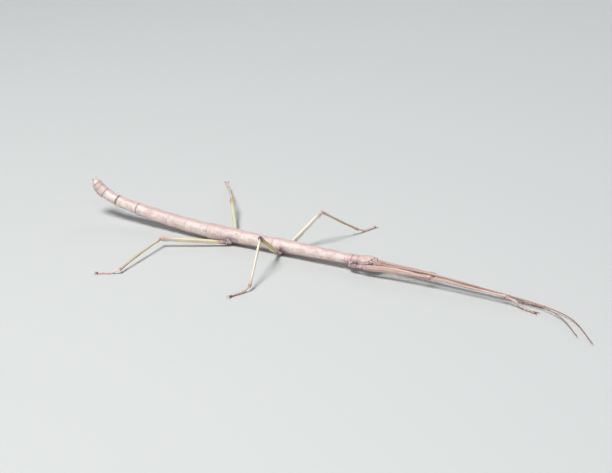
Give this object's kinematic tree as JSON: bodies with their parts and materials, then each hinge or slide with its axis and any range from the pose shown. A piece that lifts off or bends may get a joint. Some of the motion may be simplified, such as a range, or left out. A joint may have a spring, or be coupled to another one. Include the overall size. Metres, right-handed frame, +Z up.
{
  "type": "stick insect",
  "caption": "Life-size model of a female northern walkingstick, a slim pale stick insect, on its six feet with forelegs and feelers stretched ahead.",
  "frame": {"origin": "on the floor, under the middle of the whole outline, feelers and feet included", "axes": "+X forward along the body towards the head, +Y to the animal's left, +Z up"},
  "size_m": [0.1576, 0.0708, 0.0115],
  "materials": {
    "trunk": "smooth dull cuticle, pale pinkish buff with fine lengthwise lines",
    "head": "smooth cuticle, buff with darker lengthwise bands",
    "eye": "glossy, brown",
    "mouth": "satin cuticle, reddish brown",
    "feeler": "dull cuticle, reddish brown, ringed",
    "coxa": "dull cuticle, mottled purple brown",
    "fore": "satin cuticle, reddish brown with lengthwise lines",
    "middle": "satin cuticle, olive yellow to cream",
    "hind": "satin cuticle, pale yellow",
    "foot": "satin cuticle, pinkish buff",
    "claw": "glossy horn, dark reddish brown"
  },
  "bodies": {
    "root": {"head": "head", "mouthparts": "mouth", "eye_left": "eye", "feeler_left_base": "feeler", "eye_right": "eye", "feeler_right_base": "feeler", "feeler_left_1": "feeler", "feeler_left_2": "feeler", "feeler_left_3": "feeler", "feeler_right_1": "feeler", "feeler_right_2": "feeler", "feeler_right_3": "feeler", "prothorax": "trunk", "mesothorax": "trunk", "metathorax": "trunk", "median_segment": "trunk", "abdomen_2": "trunk", "abdomen_3": "trunk", "abdomen_4": "trunk", "abdomen_5": "trunk", "abdomen_6": "trunk", "abdomen_7": "trunk", "abdomen_8": "trunk", "abdomen_9": "trunk", "abdomen_10": "trunk", "cercus_left": "trunk", "cercus_right": "trunk", "operculum": "trunk", "left_fore_coxa": "coxa", "left_fore_femur": "fore", "left_fore_tibia": "fore", "left_fore_tarsus": "foot", "left_fore_claws": "claw", "right_fore_coxa": "coxa", "right_fore_femur": "fore", "right_fore_tibia": "fore", "right_fore_tarsus": "foot", "right_fore_claws": "claw", "left_middle_coxa": "coxa", "left_middle_femur": "middle", "left_middle_tibia": "middle", "left_middle_tarsus": "foot", "left_middle_claws": "claw", "right_middle_coxa": "coxa", "right_middle_femur": "middle", "right_middle_tibia": "middle", "right_middle_tarsus": "foot", "right_middle_claws": "claw", "left_hind_coxa": "coxa", "left_hind_femur": "hind", "left_hind_tibia": "hind", "left_hind_tarsus": "foot", "left_hind_claws": "claw", "right_hind_coxa": "coxa", "right_hind_femur": "hind", "right_hind_tibia": "hind", "right_hind_tarsus": "foot", "right_hind_claws": "claw"}
  },
  "joints": []
}
